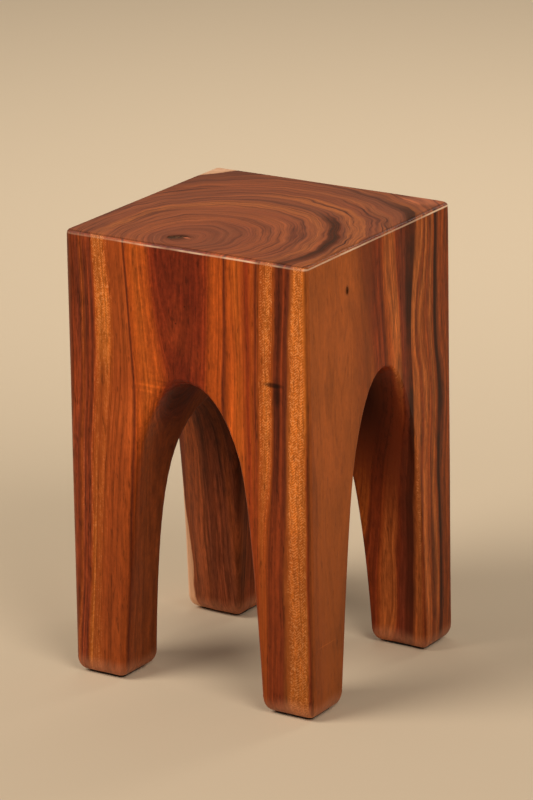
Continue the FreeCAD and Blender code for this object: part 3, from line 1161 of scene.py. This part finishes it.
def paintHollowShade(wood, look, tone):
    # painted shade: plainer, darker and redder tones deep in the hollows, where little light reaches, and a little
    # darker towards the floor, as the light falls off
    shadedBrown = scaleTone(look["hollowShadeTone"], wood.grain)
    tone = mixTone(times(wood.within, remap(wood.across, -0.02, -0.06, 0.0, 0.45)), tone, shadedBrown)
    tone = mixTone(times(wood.within, remap(wood.across, -0.06, 0.02, 0.0, 0.24)), tone, look["innerShadeTone"])
    # painted shade, darkest on faces turned to the front and on the left leg's inner side
    frontward = times(remap(wood.facingY, 0.0, -0.6), wood.within)
    inner = times(frontward, mask(wood, up=(0.10, 0.22), across=(-0.02, 0.02, 0.0, 0.9)))
    tone = mixTone(inner, tone, look["innerShadeTone"], "DARKEN")
    atRight = remap(wood.across, -0.06, 0.0)
    dim = plus(
        times(wood.hollow, straight(atRight, 0, 1, 0.33, 0.48)),
        times(frontward, remap(wood.deep, 0.003, 0.018), straight(atRight, 0, 1, 0.22, 0.42)))
    sideways = times(mask(wood, facingX=(0.2, 0.7), deep=(0.0015, 0.007)), rest(wood.endGrain), wood.leftLeg)
    floorwardShade = remap(wood.up, 0.0, 0.30, plus(times(frontward, 0.22), 0.78), 1.0)
    shade = times(rest(times(dim, remap(wood.up, 0.10, 0.28))), rest(times(sideways, 0.30)), floorwardShade)
    # painted shade: the back leg darkens upwards, most on its right side
    backLeg = times(wood.within, mask(wood, across=(-0.035, -0.055), along=(0.02, 0.05)))
    upwards = plus(
        remap(wood.up, 0.08, 0.26, 0.0, 0.34), mask(wood, facingX=(0.3, 0.8), up=(0.07, 0.15, 0.0, 0.36)))
    return scaleTone(tone, times(shade, rest(times(backLeg, upwards))))


def wearFeetAndPaintCornerLight(wood, look, tone):
    # paler from wear on the feet, and a painted highlight on the left and right upright corners
    corner = times(
        remap(maths("ABSOLUTE", wood.across), 0.1285, 0.1345), remap(maths("ABSOLUTE", wood.along), 0.126, 0.132),
        remap(times(wood.across, wood.along), -0.001, 0.001), 0.4)
    foot = remap(plus(wood.up, straight(wood.patch, 0.3, 0.7, -0.006, 0.006)), 0.022, 0.005)
    wearAndHighlight = times(maths("MAXIMUM", corner, foot), straight(wood.fibre, 0.3, 0.7, 0.26, 0.60))
    tone = mixTone(wearAndHighlight, tone, look["wornFootAndCornerHighlight"])
    # painted shade on the rounded front corner
    frontCornerShade = times(
        between(wood.facingX, 0.40, 0.62, 0.78, 0.92),
        mask(wood, facingY=(-0.35, -0.5), across=(0.120, 0.127), along=(-0.118, -0.125)))
    return scaleTone(tone, straight(frontCornerShade, 0, 1, 1.0, 0.66))


def addSapwood(wood, look, tone):
    pale = mixTone(remap(wood.streak, 0.32, 0.70, 0.0, 0.6), look["sapwood"], look["sapStreak"])
    pale = mixTone(remap(wood.past, 0.006, 0.0, 0.0, 0.45), pale, look["sapStreak"])
    pale = scaleTone(pale, straight(wood.fibre, 0.28, 0.72, 0.86, 1.10))
    return mixTone(wood.sap, tone, pale)


def rubAndHighlightTopEdges(wood, look, tone):
    # a painted highlight, with a little rubbed wear, low on the front and right edges of the top, and a painted
    # line of shade above it, but not on the sapwood
    onEdge = times(remap(wood.up, 0.4425, 0.4445), rest(wood.sap))
    near = remap(maths("MAXIMUM", minus(-0.134, wood.along), minus(wood.across, 0.132)), -0.012, -0.007)
    broken = remap(wood.patch, 0.36, 0.58, 0.95, remap(wood.facingX, 0.1, 0.5, 0.15, 0.5))
    rubbedAndHighlit = times(between(wood.upward, 0.06, 0.18, 0.36, 0.50), onEdge, broken, near)
    tone = mixTone(rubbedAndHighlit, tone, look["wornAndHighlitEdge"])
    # painted shade: the dark line above the highlight
    line = times(between(wood.upward, 0.60, 0.75, 0.90, 0.97), onEdge, 0.36)
    return scaleTone(tone, rest(line))


def makeTimber(look):
    material, shader, place = newMaterial("carvedWood")
    wood = readWood(look, place)
    tone = bandTone(wood, look)
    stages = [addGrain, addRipple, addEndGrain, darkenBesideSapwood, addMarks,
              paintHollowShade, wearFeetAndPaintCornerLight, addSapwood, rubAndHighlightTopEdges]
    for stage in stages:
        tone = stage(wood, look, tone)
    feed(shader["Base Color"], tone)
    # a little sheen, duller in the hollows
    rough = straight(wood.fibre, 0.3, 0.7, 0.34, 0.48)
    feed(shader["Roughness"], plus(rough, times(wood.hollow, 0.25)))
    feed(shader["Coat Weight"], times(rest(wood.hollow), look["coat"]))
    shader["Specular IOR Level"].default_value = look["specular"]
    shader["Coat Roughness"].default_value = look["coatRoughness"]
    addBump(shader, minus(times(wood.fibre, 0.5), wood.pore), *look["bump"])
    return material


dress(block, makeTimber(timber))
print("timber finished")


# dark filler and felt: noise is scale, detail, roughness and bend, bump is strength and height

fillerFinish = {
    "name": "darkFiller", "dark": srgb(62, 37, 23), "light": srgb(112, 74, 47), "lightFrom": (0.35, 0.7),
    "scale": (420, 420, 420), "noise": (3.0, 0.6, 0.0), "bump": (0.25, 0.0004),
    "roughness": 0.45, "specular": 0.25, "sheen": 0.0,
}
feltFinish = {
    "name": "darkFelt", "dark": srgb(30, 26, 23), "light": srgb(58, 51, 45), "lightFrom": (0.35, 0.68),
    "scale": (1400, 1400, 2600), "noise": (4.0, 0.7, 1.5), "bump": (0.6, 0.0005),
    "roughness": 0.95, "specular": 0.1, "sheen": 0.2,
}


def makeFinish(look):
    material, shader, place = newMaterial(look["name"])
    grain = cloud(place, look["scale"], *look["noise"])
    tone = mixTone(remap(grain, *look["lightFrom"]), look["dark"], look["light"])
    feed(shader["Base Color"], tone)
    shader["Roughness"].default_value = look["roughness"]
    shader["Specular IOR Level"].default_value = look["specular"]
    shader["Sheen Weight"].default_value = look["sheen"]
    addBump(shader, grain, *look["bump"])
    return material


dress(filler, makeFinish(fillerFinish))
felt = makeFinish(feltFinish)
for pad in pads:
    dress(pad, felt)
print("filler and felt finished")
